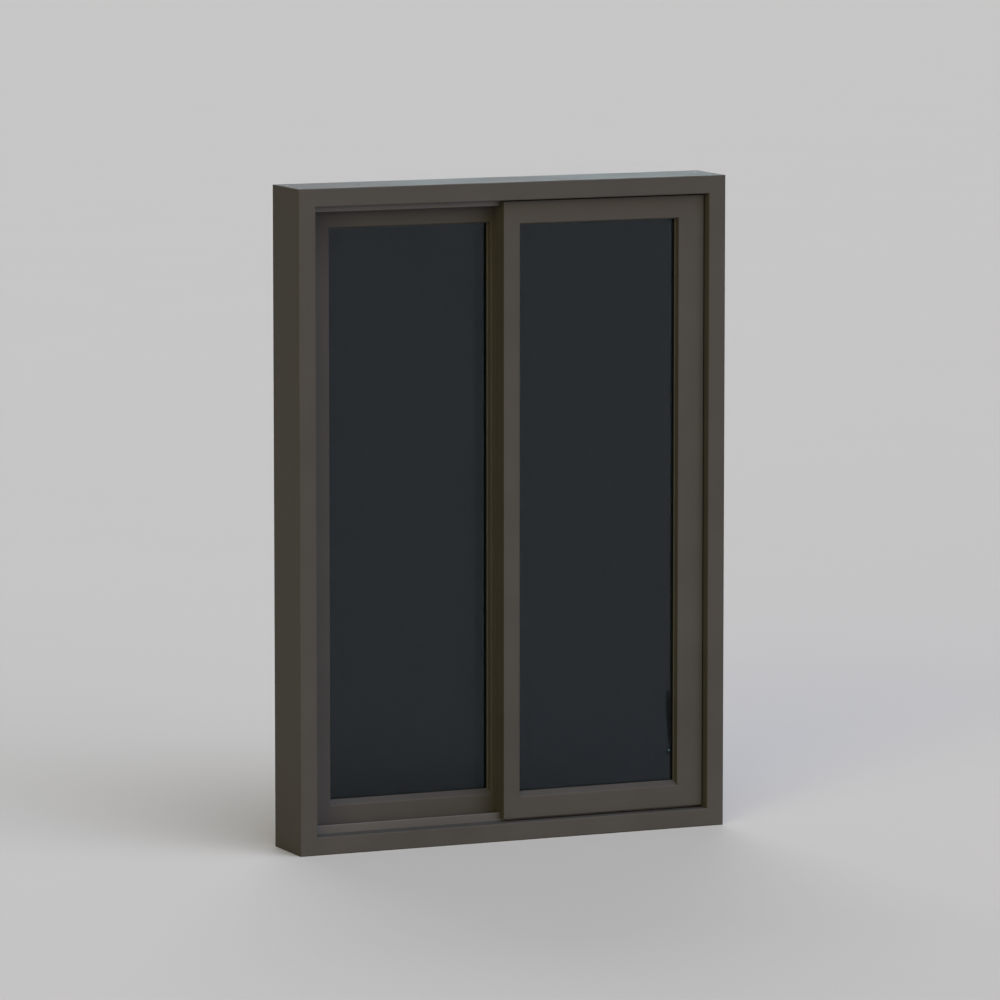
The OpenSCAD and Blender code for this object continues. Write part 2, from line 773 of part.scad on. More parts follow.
module handle_base() color(black) difference() {
    handle_place() {
        eased_block(-handle_w / 2, handle_w / 2, 0, base_t, 0, handle_h, base_ease);
        eased_block(-handle_w / 2, handle_w / 2, 0, foot_out, 0, foot_h, foot_ease);
        for (s = [-1, 1]) translate([s * (handle_w + hub_w + 2 * hub_side) / 4, 0, 0])
            lug((handle_w - hub_w - 2 * hub_side) / 2);
    }
    handle_place() pin_x(-handle_w, handle_w, pivot_p, pivot_z, lever_pin_r + run);
    handle_screw_places() screw_hole(handle_len);
    handle_place() tail_room(-over, base_t + over);
}

// Room that the lever's tail needs as it turns, from p0 to p1
module tail_room(p0, p1) box(-tail_w / 2 - tail_side, tail_w / 2 + tail_side, p0, p1,
    pivot_z - tail_down, pivot_z + tail_up);

// Cheek that carries the lever's pin
module lug(w) {
    pin_x(-w / 2, w / 2, pivot_p, pivot_z, lug_r);
    box(-w / 2, w / 2, base_t / 2, pivot_p, pivot_z - lug_r, pivot_z + lug_r);
}

module handle_screws() color(metal) handle_screw_places() screw(handle_len);

// Side view of the lever in p and z: arm at the top, bowed grip, rounded free end
function lever_side() =
    let (top = handle_h, end = foot_h + grip_gap, mid = top - bow_low,
         out0 = [lever_out, top - grip_ease],
         out1 = [lever_out - grip_in, end + grip_ease],
         in0 = [lever_out - arm_t, top - arm_h],
         in1 = [lever_out - grip_in - grip_t, end + end_ease])
    concat(
        [[pivot_p, top]], arc(out0 - [grip_ease, 0], grip_ease, 90, 0),
        bezier([out0, out0 + [bow_out, -bow_top], [lever_out + grip_ease, mid], out1],
            curve_n),
        arc(out1 - [grip_ease, 0], grip_ease, 0, -90),
        arc(in1 + [end_ease, 0], end_ease, 270, 180),
        bezier([in1, [in1[0] + grip_t, mid], in0 + [bow_in, -bow_top], in0], curve_n),
        [[pivot_p, top - arm_h]]);

module lock_lever() color(black) handle_place() difference() {
    union() {
        difference() {
            along_x(-lever_w / 2, lever_w / 2) polygon(lever_side());
            pin_x(-lever_w, lever_w, pivot_p, pivot_z, lug_r + lug_gap);
            box(-lever_w, lever_w, -over, pivot_p, 0, handle_h + over);
        }
        pin_x(-hub_w / 2, hub_w / 2, pivot_p, pivot_z, hub_r);
        box(-hub_w / 2, hub_w / 2, pivot_p, pivot_p + lug_r + 2 * lug_gap,
            pivot_z - hub_r + 1, pivot_z + hub_r - 1);
        box(-tail_w / 2, tail_w / 2, pivot_p - tail_l, pivot_p, pivot_z - tail_h / 2,
            pivot_z + tail_h / 2);
    }
    pin_x(-lever_w, lever_w, pivot_p, pivot_z, lever_pin_r + run);
}

module lever_pin() color(metal) handle_place()
    pin_x(-handle_w / 2, handle_w / 2, pivot_p, pivot_z, lever_pin_r);

// Room for the lever's tail through the stile into the lock case
module tail_slot() handle_place() tail_room(-case_p - case_wall - over, over);

// ---------- lock ----------

module lock_mortise() {
    box(sash_x1 - case_d - fit, sash_x1, track_y - case_t / 2 - fit,
        track_y + case_t / 2 + fit, case_z0 - fit, case_z1 + fit);
    box(sash_x1 - face_t, sash_x1 + over, track_y - plate_w / 2 - fit,
        track_y + plate_w / 2 + fit, case_z0 - plate_end - fit, case_z1 + plate_end + fit);
}

module lock_screw_places() for (z = [case_z0 - plate_end / 2, case_z1 + plate_end / 2])
    translate([sash_x1, track_y, z]) rotate([0, 90, 0]) children();

module lock_case() color(metal) difference() {
    union() {
        box(sash_x1 - case_d, sash_x1 - face_t / 2, track_y - case_t / 2,
            track_y + case_t / 2, case_z0, case_z1);
        box(sash_x1 - face_t, sash_x1, track_y - plate_w / 2, track_y + plate_w / 2,
            case_z0 - plate_end, case_z1 + plate_end);
    }
    box(sash_x1 - case_d + case_wall, sash_x1 - face_t, track_y - case_t / 2 + case_wall,
        track_y + case_t / 2 - case_wall, case_z0 + case_wall, case_z1 - case_wall);
    box(sash_x1 - 2 * face_t, sash_x1 + over, track_y - slot_w / 2, track_y + slot_w / 2,
        slot_z0, slot_z1);
    pin_y(hook_x, track_y - case_t, track_y + case_t, hook_z, hook_pin_r + run);
    tail_slot();
    lock_screw_places() screw_hole(lock_len);
}

module lock_screws() color(metal) lock_screw_places() screw(lock_len);

// Hook drawn in: its shape when home, turned down about its pivot
module lock_hook() color(metal) translate([hook_x, 0, hook_z]) rotate([0, hook_turn, 0])
    difference() {
        union() {
            along_y(track_y - hook_t / 2, track_y + hook_t / 2) polygon(concat(
                arc([0, 0], hook_r, arm_a0, beak_a, 12),
                arc([0, 0], hook_r - beak_w, beak_a, arm_a1, 12), [[0, 0]]));
            pin_y(0, track_y - hook_t / 2, track_y + hook_t / 2, 0, hook_hub);
        }
        pin_y(0, track_y - hook_t, track_y + hook_t, 0, hook_pin_r + run);
    }

module hook_pin() color(metal)
    pin_y(hook_x, track_y - case_t / 2, track_y + case_t / 2, hook_z, hook_pin_r);

frame_head();
frame_sill();
frame_left_jamb();
frame_right_jamb();
frame_screws();
outer_head_guide();
inner_head_guide();
outer_sill_rail();
inner_sill_rail();
travel_stops();
closing_seal();
fixed_side_seal();
keeper_plate();
keeper_screws();
fixed_jamb_stile();
fixed_meeting_stile();
fixed_top_rail();
fixed_bottom_rail();
fixed_outer_pane();
fixed_inner_pane();
fixed_spacer();
fixed_gasket();
fixed_setting_blocks();
fixed_left_bead();
fixed_right_bead();
fixed_top_bead();
fixed_bottom_bead();
fixed_interlock();
fixed_packers();
fixing_brackets();
bracket_screws();
sliding_lock_stile();
sliding_meeting_stile();
sliding_top_rail();
sliding_bottom_rail();
sliding_outer_pane();
sliding_inner_pane();
sliding_spacer();
sliding_gasket();
sliding_setting_blocks();
sliding_left_bead();
sliding_right_bead();
sliding_top_bead();
sliding_bottom_bead();
sliding_interlock();
interlock_pile();
roller_housings();
roller_axles();
left_roller();
right_roller();
handle_base();
handle_screws();
lock_lever();
lever_pin();
lock_case();
lock_screws();
lock_hook();
hook_pin();
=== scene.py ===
import json
import math

import bpy
import numpy as np
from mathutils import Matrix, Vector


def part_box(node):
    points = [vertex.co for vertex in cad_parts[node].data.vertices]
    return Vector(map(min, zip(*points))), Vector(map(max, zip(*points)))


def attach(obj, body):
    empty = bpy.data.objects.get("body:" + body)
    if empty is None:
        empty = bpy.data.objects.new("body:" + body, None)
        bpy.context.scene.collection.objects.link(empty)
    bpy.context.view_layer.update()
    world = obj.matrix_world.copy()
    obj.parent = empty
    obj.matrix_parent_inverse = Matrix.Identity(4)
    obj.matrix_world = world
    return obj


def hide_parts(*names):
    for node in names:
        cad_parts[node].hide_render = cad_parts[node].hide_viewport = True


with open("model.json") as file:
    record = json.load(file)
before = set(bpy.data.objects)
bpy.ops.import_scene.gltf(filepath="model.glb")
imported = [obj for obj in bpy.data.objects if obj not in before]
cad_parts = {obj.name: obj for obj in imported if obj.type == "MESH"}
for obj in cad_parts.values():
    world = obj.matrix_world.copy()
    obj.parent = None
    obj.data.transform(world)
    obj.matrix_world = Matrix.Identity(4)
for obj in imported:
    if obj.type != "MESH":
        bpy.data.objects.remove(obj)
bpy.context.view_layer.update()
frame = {"nodes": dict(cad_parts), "record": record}
print("frame loaded:", len(frame["nodes"]), "nodes")

mm = 0.001


view = dict(place=(-4.9165, -11.1206, 2.1279), pitch=82.918, turn=-23.841, lens=242.93)


def addCamera():
    data = bpy.data.cameras.new("camera")
    data.lens = view["lens"]
    data.clip_end = 400.0
    camera = bpy.data.objects.new("camera", data)
    camera.location = view["place"]
    camera.rotation_euler = [math.radians(a) for a in (view["pitch"], 0.0, view["turn"])]
    bpy.context.collection.objects.link(camera)
    bpy.context.scene.camera = camera


addCamera()
print("camera ready")


# A node socket that takes part in Python arithmetic; each operation adds a Math node
class Signal:
    def __init__(self, finish, socket):
        self.finish = finish
        self.socket = socket

    def maths(self, operation, *values, clamp=False):
        settings = dict(operation=operation, use_clamp=clamp)
        return self.finish.node("ShaderNodeMath", settings, dict(enumerate(values)))

    def __add__(self, other):
        return self.maths("ADD", self, other)

    def __sub__(self, other):
        return self.maths("SUBTRACT", self, other)

    def __rsub__(self, other):
        return self.maths("SUBTRACT", other, self)

    def __mul__(self, other):
        return self.maths("MULTIPLY", self, other)

    __radd__ = __add__
    __rmul__ = __mul__

    # 0 where the value is at low, 1 where it is at high, held between
    def between(self, low, high):
        return self.maths("MULTIPLY", self - low, 1.0 / (high - low), clamp=True)

    def sine(self):
        return self.maths("SINE", self)


# A tree of shader nodes, put together from calls and sums
class Nodes:
    def __init__(self, tree, place):
        self.tree = tree
        self.tree.nodes.clear()
        self.place = self.node("ShaderNodeTexCoord", output=place)

    # Adds one node: its settings first, then its sockets' values or links
    def node(self, kind, settings=None, sockets=None, output=0):
        made = self.tree.nodes.new(kind)
        for name, value in (settings or {}).items():
            setattr(made, name, value)
        for name, value in (sockets or {}).items():
            if isinstance(value, Signal):
                self.tree.links.new(value.socket, made.inputs[name])
            else:
                made.inputs[name].default_value = value
        return Signal(self, made.outputs[output])

    # Object coordinates scaled, so that a pattern can stretch along a part
    def stretched(self, scale):
        return self.node("ShaderNodeMapping", None, {"Vector": self.place, "Scale": scale})

    def noise(self, scale, detail=2.0, rough=0.5, vector=None):
        return self.node("ShaderNodeTexNoise", None,
                         {"Vector": vector or self.place, "Scale": scale,
                          "Detail": detail, "Roughness": rough})

    def cells(self, scale):
        return self.node("ShaderNodeTexVoronoi", None,
                         {"Vector": self.place, "Scale": scale}, output="Distance")

    def axes(self):
        return [self.node("ShaderNodeSeparateXYZ", None, {0: self.place}, output=i)
                for i in range(3)]

    # Share of one colour laid over another
    def mix(self, share, first, second, blend="MIX"):
        settings = dict(data_type="RGBA", blend_type=blend)
        first, second = [c if isinstance(c, Signal) else (*c, 1.0) for c in (first, second)]
        return self.node("ShaderNodeMix", settings, {0: share, 6: first, 7: second}, output=2)


# A procedural material on object coordinates
class Finish(Nodes):
    def __init__(self, name):
        self.material = bpy.data.materials.new(name)
        self.material.use_nodes = True
        super().__init__(self.material.node_tree, "Object")

    def bump(self, height, depth, strength=1.0, under=None):
        sockets = {"Height": height, "Distance": depth, "Strength": strength}
        if under is not None:
            sockets["Normal"] = under
        return self.node("ShaderNodeBump", None, sockets)

    def principled(self, **sockets):
        names = {name.replace("_", " "): value for name, value in sockets.items()}
        return self.node("ShaderNodeBsdfPrincipled", None, names)

    def finish(self, shader):
        out = self.tree.nodes.new("ShaderNodeOutputMaterial")
        self.tree.links.new(shader.socket, out.inputs["Surface"])
        return self.material


# Suns: turn is from straight ahead of the window (-Y) towards +X, rise from the horizon.
# Panels are soft bright areas of the sky: direction, where they start and are full
# (as the cosine from that direction), and colour.
studio = dict(
    floorWidth=160.0, floorColour=(0.505, 0.472, 0.448), floorRoughness=0.9,
    cloudScale=1.5, toothScale=300.0, toothDepth=0.1 * mm,
    dome=(0.12, 0.12, 0.12),
    suns=dict(
        topSun=(10.0, 66.0, 50.0, (1.25, 1.62, 2.15)),
        frontSun=(26.0, 15.0, 50.0, (0.98, 1.07, 1.34)),
        leftSun=(-46.0, 16.0, 36.0, (1.48, 1.24, 0.40)),
        rimSun=(154.8, 8.8, 3.6, (0.032, 0.048, 0.051)),
        fillSun=(165.0, 36.0, 36.0, (0.95, 0.97, 1.00)),
    ),
    panels=dict(
        backPanel=((0.40, 0.87, 0.30), 0.55, 0.98, (0.30, 0.30, 0.30)),
        frontPanel=((0.45, -0.80, 0.40), 0.45, 0.95, (0.75, 0.55, 0.35)),
    ),
)


def addSun(name, turn, rise, angle, colour):
    strength = max(colour)
    data = bpy.data.lights.new(name, "SUN")
    data.angle = math.radians(angle)
    data.energy = strength
    data.color = [c / strength for c in colour]
    sun = bpy.data.objects.new(name, data)
    sun.rotation_euler = (math.radians(90.0 - rise), 0.0, math.radians(turn))
    bpy.context.collection.objects.link(sun)


# The sky is an even dome with soft panels added to it
def addSky():
    world = bpy.data.worlds.new("studio")
    world.use_nodes = True
    sky = Nodes(world.node_tree, "Generated")
    colour = (*studio["dome"],)
    for direction, start, full, tone in studio["panels"].values():
        facing = sky.node("ShaderNodeVectorMath", dict(operation="DOT_PRODUCT"),
                          {0: sky.place, 1: direction}, output="Value")
        colour = sky.mix(facing.between(start, full), colour, tone, blend="ADD")
    back = sky.node("ShaderNodeBackground", None, {"Color": colour})
    out = sky.tree.nodes.new("ShaderNodeOutputWorld")
    sky.tree.links.new(back.socket, out.inputs["Surface"])
    bpy.context.scene.world = world
    bpy.context.scene.view_settings.view_transform = "Standard"


# Pale studio floor: one even colour with the faintest cloud and tooth
def makeFloorFinish():
    f = Finish("studioFloor")
    clouds = f.noise(studio["cloudScale"], 3.0)
    colour = f.mix(clouds, studio["floorColour"],
                   [c * 1.02 for c in studio["floorColour"]])
    tooth = f.noise(studio["toothScale"], 2.0)
    return f.finish(f.principled(Base_Color=colour, Roughness=studio["floorRoughness"],
                                 Specular_IOR_Level=0.1,
                                 Normal=f.bump(tooth, studio["toothDepth"], 0.1)))


def addFloor():
    half = studio["floorWidth"] / 2
    mesh = bpy.data.meshes.new("floor")
    mesh.from_pydata([(-half, -half, 0.0), (half, -half, 0.0), (half, half, 0.0),
                      (-half, half, 0.0)], [], [(0, 1, 2, 3)])
    mesh.materials.append(makeFloorFinish())
    floor = bpy.data.objects.new("floor", mesh)
    bpy.context.collection.objects.link(floor)


for name, settings in studio["suns"].items():
    addSun(name, *settings)
addSky()
addFloor()
print("studio ready:", len(studio["suns"]), "suns")


paint = dict(colour=(0.0520, 0.0472, 0.0448), pale=1.16, deep=0.85, roughness=0.50, gloss=0.09,
             grainAcross=90.0, grainAlong=2.2, grainDepth=0.08 * mm, cloudScale=7.0,
             peelScale=900.0, peelDepth=0.018 * mm)


# Satin paint on timber: grain faintly telegraphs along the part, under a fine orange peel
def makePaint(name, along):
    f = Finish(name)
    stretch = [paint["grainAcross"]] * 3
    stretch[along] = paint["grainAlong"]
    grain = f.noise(4.0, 5.0, 0.6, f.stretched(stretch))
    clouds = f.noise(paint["cloudScale"], 3.0, 0.55)
    peel = f.noise(paint["peelScale"], 1.0)
    deep, pale = [[c * paint[tone] for c in paint["colour"]] for tone in ("deep", "pale")]
    colour = f.mix(clouds.between(0.32, 0.68), deep, pale)
    colour = f.mix(0.5, colour, paint["colour"])
    colour = f.mix(grain.between(0.35, 0.75) * 0.25, colour, deep)
    rough = paint["roughness"] + (clouds - 0.5) * 0.16 + (grain - 0.5) * 0.10
    normal = f.bump(grain, paint["grainDepth"], 0.35)
    normal = f.bump(peel, paint["peelDepth"], 0.5, normal)
    return f.finish(f.principled(Base_Color=colour, Roughness=rough, Normal=normal,
                                 Specular_IOR_Level=paint["gloss"]))


guide = dict(colour=(0.053, 0.048, 0.045), wear=(0.088, 0.082, 0.077), roughness=0.48,
             metallic=0.08, lineAcross=1600.0, lineAlong=3.0, lineDepth=0.03 * mm,
             pebbleScale=1400.0, pebbleDepth=0.02 * mm, cloudScale=9.0)


# Powder-coated aluminium: fine extrusion lines along the strip and a pebbled coat
def makeGuide(name, along):
    f = Finish(name)
    stretch = [guide["lineAcross"]] * 3
    stretch[along] = guide["lineAlong"]
    lines = f.noise(1.0, 2.0, 0.5, f.stretched(stretch))
    pebbles = f.noise(guide["pebbleScale"], 2.0, 0.6)
    clouds = f.noise(guide["cloudScale"], 3.0)
    colour = f.mix(clouds.between(0.35, 0.75) * 0.35, guide["colour"], guide["wear"])
    colour = f.mix(lines.between(0.55, 0.80) * 0.30, colour, guide["wear"])
    rough = guide["roughness"] + (pebbles - 0.5) * 0.15 + (lines - 0.5) * 0.10
    normal = f.bump(lines, guide["lineDepth"], 0.4)
    normal = f.bump(pebbles, guide["pebbleDepth"], 0.5, normal)
    return f.finish(f.principled(Base_Color=colour, Roughness=rough, Normal=normal,
                                 Metallic=guide["metallic"]))


glazing = dict(tint=(0.81, 0.855, 0.885), solid=0.515, body=(0.004, 0.005, 0.006),
               mirror=0.16, roughness=0.02, dustScale=14.0, dustRoughness=0.03)


# Grey solar glass: each face lets part of the light through and mirrors a little;
# the surface has a faint dust that shows only as a change of roughness
def makeGlass():
    f = Finish("solarGlass")
    dust = f.noise(glazing["dustScale"], 4.0, 0.6)
    body = f.mix(dust.between(0.45, 0.80) * 0.4, glazing["body"],
                 [c * 1.7 for c in glazing["body"]])
    rough = glazing["roughness"] + dust.between(0.4, 0.9) * glazing["dustRoughness"]
    pane = f.principled(Base_Color=body, Specular_IOR_Level=glazing["mirror"], Roughness=rough)
    clear = f.node("ShaderNodeBsdfTransparent", None, {"Color": (*glazing["tint"], 1.0)})
    return f.finish(f.node("ShaderNodeMixShader", None,
                           {0: glazing["solid"], 1: clear, 2: pane}))


# The second colour is painted shade: the darker dots stand in for the shade inside each breathing
# perforation
spacer = dict(film=(0.014, 0.014, 0.016), hole=(0.004, 0.004, 0.005), holeScale=260.0,
              ribScale=2400.0, ribDepth=0.03 * mm, roughness=0.62)


# Black warm-edge spacer: a ribbed film with rows of fine breathing perforations, which are not cut
# but drawn as darker dots of painted shade
def makeSpacer():
    f = Finish("spacerFilm")
    x, _, z = f.axes()
    ribs = ((x + z) * spacer["ribScale"]).sine()
    holeShadeMask = f.cells(spacer["holeScale"])
    # Painted shade: the film is darkened in the dots, in place of the shade inside real
    # perforations
    shade = f.mix(holeShadeMask.between(0.10, 0.30), spacer["hole"], spacer["film"])
    return f.finish(f.principled(Base_Color=shade, Specular_IOR_Level=0.3,
                                 Roughness=spacer["roughness"] + ribs * 0.04,
                                 Normal=f.bump(ribs, spacer["ribDepth"], 0.5)))


rubber = dict(colour=(0.053, 0.050, 0.042), bloom=(0.074, 0.070, 0.060), roughness=0.66,
              bloomScale=30.0, gritScale=2600.0, gritDepth=0.02 * mm)


# Taupe rubber: matt, with a pale bloom in soft patches and fine moulding grit
def makeRubber():
    f = Finish("gasketRubber")
    bloom = f.noise(rubber["bloomScale"], 4.0, 0.6)
    grit = f.noise(rubber["gritScale"], 1.0)
    colour = f.mix(bloom.between(0.40, 0.80), rubber["colour"], rubber["bloom"])
    return f.finish(f.principled(Base_Color=colour, Specular_IOR_Level=0.35,
                                 Roughness=rubber["roughness"] + (grit - 0.5) * 0.2,
                                 Normal=f.bump(grit, rubber["gritDepth"], 0.4)))


plastic = dict(dark=(0.010, 0.010, 0.011), light=(0.022, 0.022, 0.023), roughness=0.46,
               cloudScale=40.0, sparkScale=1500.0, sparkDepth=0.04 * mm)


# Moulded black plastic: fine spark texture, duller where it has been handled
def makePlastic():
    f = Finish("mouldedPlastic")
    clouds = f.noise(plastic["cloudScale"], 3.0)
    sparks = f.cells(plastic["sparkScale"])
    colour = f.mix(clouds, plastic["dark"], plastic["light"])
    return f.finish(f.principled(Base_Color=colour,
                                 Roughness=plastic["roughness"] + clouds * 0.16,
                                 Normal=f.bump(sparks, plastic["sparkDepth"], 0.35)))


pile = dict(dark=(0.010, 0.0095, 0.009), light=(0.050, 0.046, 0.042), roughness=0.70,
            stretch=(900.0, 900.0, 4200.0), depth=0.04 * mm)


# Pile of dark polypropylene: each fibre a little lighter or darker along its run
def makePile():
    f = Finish("brushPile")
    fibres = f.noise(1.0, 2.0, 0.6, f.stretched(pile["stretch"]))
    colour = f.mix(fibres.between(0.30, 0.72), pile["dark"], pile["light"])
    return f.finish(f.principled(Base_Color=colour,
                                 Roughness=pile["roughness"] + (fibres - 0.5) * 0.2,
                                 Normal=f.bump(fibres, pile["depth"], 0.3)))


zinc = dict(bright=(0.60, 0.61, 0.62), dull=(0.42, 0.43, 0.44), roughness=0.30,
            cloudScale=60.0, lineStretch=(2600.0, 2600.0, 60.0), lineDepth=0.02 * mm,
            spangleScale=420.0, spangleDepth=0.02 * mm)


# Bright zinc plate: rolled steel lines under a plating that varies in spangles
def makeZinc():
    f = Finish("zincPlate")
    clouds = f.noise(zinc["cloudScale"], 4.0, 0.6)
    lines = f.noise(1.0, 2.0, 0.5, f.stretched(zinc["lineStretch"]))
    colour = f.mix(clouds.between(0.30, 0.75), zinc["bright"], zinc["dull"])
    rough = zinc["roughness"] + (clouds - 0.5) * 0.20 + (lines - 0.5) * 0.12
    normal = f.bump(lines, zinc["lineDepth"], 0.35)
    normal = f.bump(f.cells(zinc["spangleScale"]), zinc["spangleDepth"], 0.2, normal)
    return f.finish(f.principled(Base_Color=colour, Metallic=1.0, Roughness=rough,
                                 Normal=normal))


handleCoat = dict(colour=(0.004, 0.004, 0.0043), worn=(0.012, 0.0115, 0.011), roughness=0.24,
                  gloss=0.22, coat=0.4, coatRoughness=0.08, rubScale=55.0,
                  peelScale=1500.0, peelDepth=0.02 * mm)


# Black coating of the handle: semi-gloss, fine peel, rubbed duller where hands go
def makeHandleCoat():
    f = Finish("handleCoat")
    rubbed = f.noise(handleCoat["rubScale"], 4.0, 0.6)
    peel = f.noise(handleCoat["peelScale"], 1.0)
    colour = f.mix(rubbed.between(0.50, 0.85), handleCoat["colour"], handleCoat["worn"])
    rough = handleCoat["roughness"] + rubbed.between(0.45, 0.85) * 0.16
    return f.finish(f.principled(Base_Color=colour, Roughness=rough,
                                 Coat_Weight=handleCoat["coat"],
                                 Coat_Roughness=handleCoat["coatRoughness"],
                                 Specular_IOR_Level=handleCoat["gloss"],
                                 Normal=f.bump(peel, handleCoat["peelDepth"], 0.35)))


finishes = {
    "paintLevel": makePaint("paintLevel", 0), "paintUpright": makePaint("paintUpright", 2),
    "guideLevel": makeGuide("guideLevel", 0), "guideUpright": makeGuide("guideUpright", 2),
    "glass": makeGlass(), "spacer": makeSpacer(), "gasket": makeRubber(),
    "plastic": makePlastic(), "brush": makePile(), "steel": makeZinc(),
    "handle": makeHandleCoat(),
}
print("finishes made:", len(finishes))


slotOf = {row["node"]: row["material_slot"] for row in frame["record"]["subparts"]}


# Paint and guide strips run along the part's longer side, upright or level
def finishFor(node):
    slot = slotOf[node]
    if slot in ("paint", "guide"):
        low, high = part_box(node)
        upright = high.z - low.z > high.x - low.x
        return finishes[slot + ("Upright" if upright else "Level")]
    return finishes[slot]


for name, part in frame["nodes"].items():
    part.data.materials.clear()
    part.data.materials.append(finishFor(name))
print("frame parts finished")


# Quads over a grid of points, rows by columns; the columns close into loops, and the
# rows too where asked
def gridQuads(rows, columns, ring=False):
    i, j = np.meshgrid(np.arange(rows if ring else rows - 1), np.arange(columns),
                       indexing="ij")
    below, beside = (i + 1) % rows, (j + 1) % columns
    corners = (i * columns + j, i * columns + beside,
               below * columns + beside, below * columns + j)
    return np.stack(corners, axis=-1).reshape(-1, 4)


# A form is its points, quads and triangles. Its volume, summed over the wedges between
# each face and the middle, is positive when the faces point outwards; else they are turned.
def outward(points, quads, triangles):
    faces = np.concatenate([quads[:, [0, 1, 2]], quads[:, [0, 2, 3]], triangles])
    a, b, c = (points[faces[:, k]] - points.mean(axis=0) for k in range(3))
    if np.einsum("ij,ij->", a, np.cross(b, c)) < 0:
        quads, triangles = quads[:, ::-1], triangles[:, ::-1]
    return points, quads, triangles


noFaces = np.zeros((0, 3), int)


# Solid through a row of closed sections; a fan on its middle closes each end
def lofted(sections):
    rows, columns = sections.shape[:2]
    points = np.concatenate([sections.reshape(-1, 3), sections[[0, -1]].mean(axis=1)])
    j = np.arange(columns)
    beside = (j + 1) % columns
    start = (rows - 1) * columns
    first = np.stack([beside, j, np.full(columns, rows * columns)], axis=-1)
    last = np.stack([start + j, start + beside, np.full(columns, rows * columns + 1)], axis=-1)
    return outward(points, gridQuads(rows, columns), np.concatenate([first, last]))


# Several closed forms as one
def together(forms):
    starts = np.cumsum([0] + [len(form[0]) for form in forms[:-1]])
    points = np.concatenate([form[0] for form in forms])
    quads, triangles = [np.concatenate([form[k] + start for form, start in zip(forms, starts)])
                        for k in (1, 2)]
    return points, quads, triangles


# Turns a form's own axes to across, along and out, and sets its origin at place
def placed(form, place, across, along, out):
    points = form[0] @ np.array([across, along, out], float) + np.array(place, float)
    return outward(points, *form[1:])


# A form as a mesh that rides on a body and stands for a node; edges sharper than the
# angle stay sharp
def addPiece(name, form, body, slot, replaced, smoothUnder=40.0):
    points, quads, triangles = form
    mesh = bpy.data.meshes.new(name)
    mesh.from_pydata(points.tolist(), [], quads.tolist() + triangles.tolist())
    mesh.materials.append(finishes[slot])
    mesh.polygons.foreach_set("use_smooth", [True] * len(mesh.polygons))
    mesh.set_sharp_from_angle(angle=math.radians(smoothUnder))
    piece = bpy.data.objects.new(name, mesh)
    bpy.context.collection.objects.link(piece)
    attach(piece, body)
    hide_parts(replaced)
    return piece


brush = dict(backing=0.7 * mm, pitch=0.75 * mm, across=5, thick=0.26 * mm, lean=0.25 * mm,
             ragged=0.25 * mm, cover=0.92, sunk=0.8, shift=0.05, bend=0.6, taper=0.75, seed=7)


# Outline of a rectangle about the origin with rounded corners, going round once:
# each corner is a quarter circle of n steps
def roundedOutline(halfWidth, halfHeight, radius, n=5):
    angle = np.linspace(0.0, math.pi / 2, n + 1)
    turn = angle[None, :] + (np.arange(4) * math.pi / 2)[:, None]
    corner = np.array([[1, 1], [-1, 1], [-1, -1], [1, -1]], float)
    middle = corner * [halfWidth - radius, halfHeight - radius]
    rim = np.stack([np.cos(turn), np.sin(turn)], axis=-1) * radius
    return (middle[:, None, :] + rim).reshape(-1, 2)


# A strip whose outline, in its own width and depth, is carried along Z
def backingStrip(width, depth, length):
    outline = roundedOutline(width / 2, depth / 2, depth * 0.3, 3)
    rise = np.array([0.0, length])
    sections = np.concatenate([
        np.broadcast_to(outline, (2, *outline.shape)),
        np.broadcast_to(rise[:, None, None], (2, len(outline), 1))], axis=-1)
    return lofted(sections)


# Bristles on a grid: each is a three-sided spike with a foot, a bend and a tip, where
# point = foot + height * out + lean * height squared, with a seeded unevenness
def bristles(width, start, reach, length):
    count = (int(length / brush["pitch"]), brush["across"])
    rng = np.random.default_rng(brush["seed"])
    z, x = np.meshgrid((np.arange(count[0]) + 0.5) * length / count[0],
                       ((np.arange(count[1]) + 0.5) / count[1] - 0.5) * width * brush["cover"],
                       indexing="ij")
    foot = np.stack([x, np.full_like(x, start), z], axis=-1).reshape(-1, 3)
    foot[:, 0] += rng.uniform(-brush["shift"], brush["shift"], len(foot)) * width / count[1]
    tall = reach - rng.uniform(0.0, brush["ragged"], len(foot))
    lean = rng.uniform(-brush["lean"], brush["lean"], (len(foot), 2))
    ring = np.array([[math.cos(a), 0.0, math.sin(a)] for a in (0.0, 2.1, 4.2)])
    height = np.array([0.0, brush["bend"], 1.0])
    spine = np.repeat(foot[:, None, :], 3, axis=1)
    spine[:, :, 1] += height * tall[:, None]
    spine[:, :, 0] += height ** 2 * lean[:, :1]
    spine[:, :, 2] += height ** 2 * lean[:, 1:]
    thick = brush["thick"] * np.array([1.0, brush["taper"]])
    rings = spine[:, :2, None, :] + ring * thick[:, None, None]
    points = np.concatenate([rings.reshape(-1, 6, 3), spine[:, 2:, :]], axis=1)
    number = np.arange(len(foot))[:, None, None] * 7
    quads = np.array([[0, 1, 4, 3], [1, 2, 5, 4], [2, 0, 3, 5]]) + number
    triangles = np.array([[0, 2, 1], [3, 4, 6], [4, 5, 6], [5, 3, 6]]) + number
    return outward(points.reshape(-1, 3), quads.reshape(-1, 4), triangles.reshape(-1, 3))


# Brush strip in a node's box: its backing on the side away from out, its pile towards it
def addBrush(name, node, body, out):
    low, high = (np.array(corner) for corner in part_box(node))
    size = high - low
    out = np.array(out, float)
    across = np.cross(out, [0.0, 0.0, 1.0])
    width, depth = (abs(size @ direction) for direction in (across, out))
    backing, length = brush["backing"], size[2]
    strip = backingStrip(width, backing, length)
    strip[0][:, 1] += backing / 2
    start = backing * brush["sunk"]
    tufts = bristles(width, start, depth - start, length)
    middle = (low + high) / 2
    root = middle - out * depth / 2
    root[2] = low[2]
    form = placed(together([strip, tufts]), root, across, out, (0.0, 0.0, 1.0))
    return addPiece(name, form, body, "brush", node, 30.0)


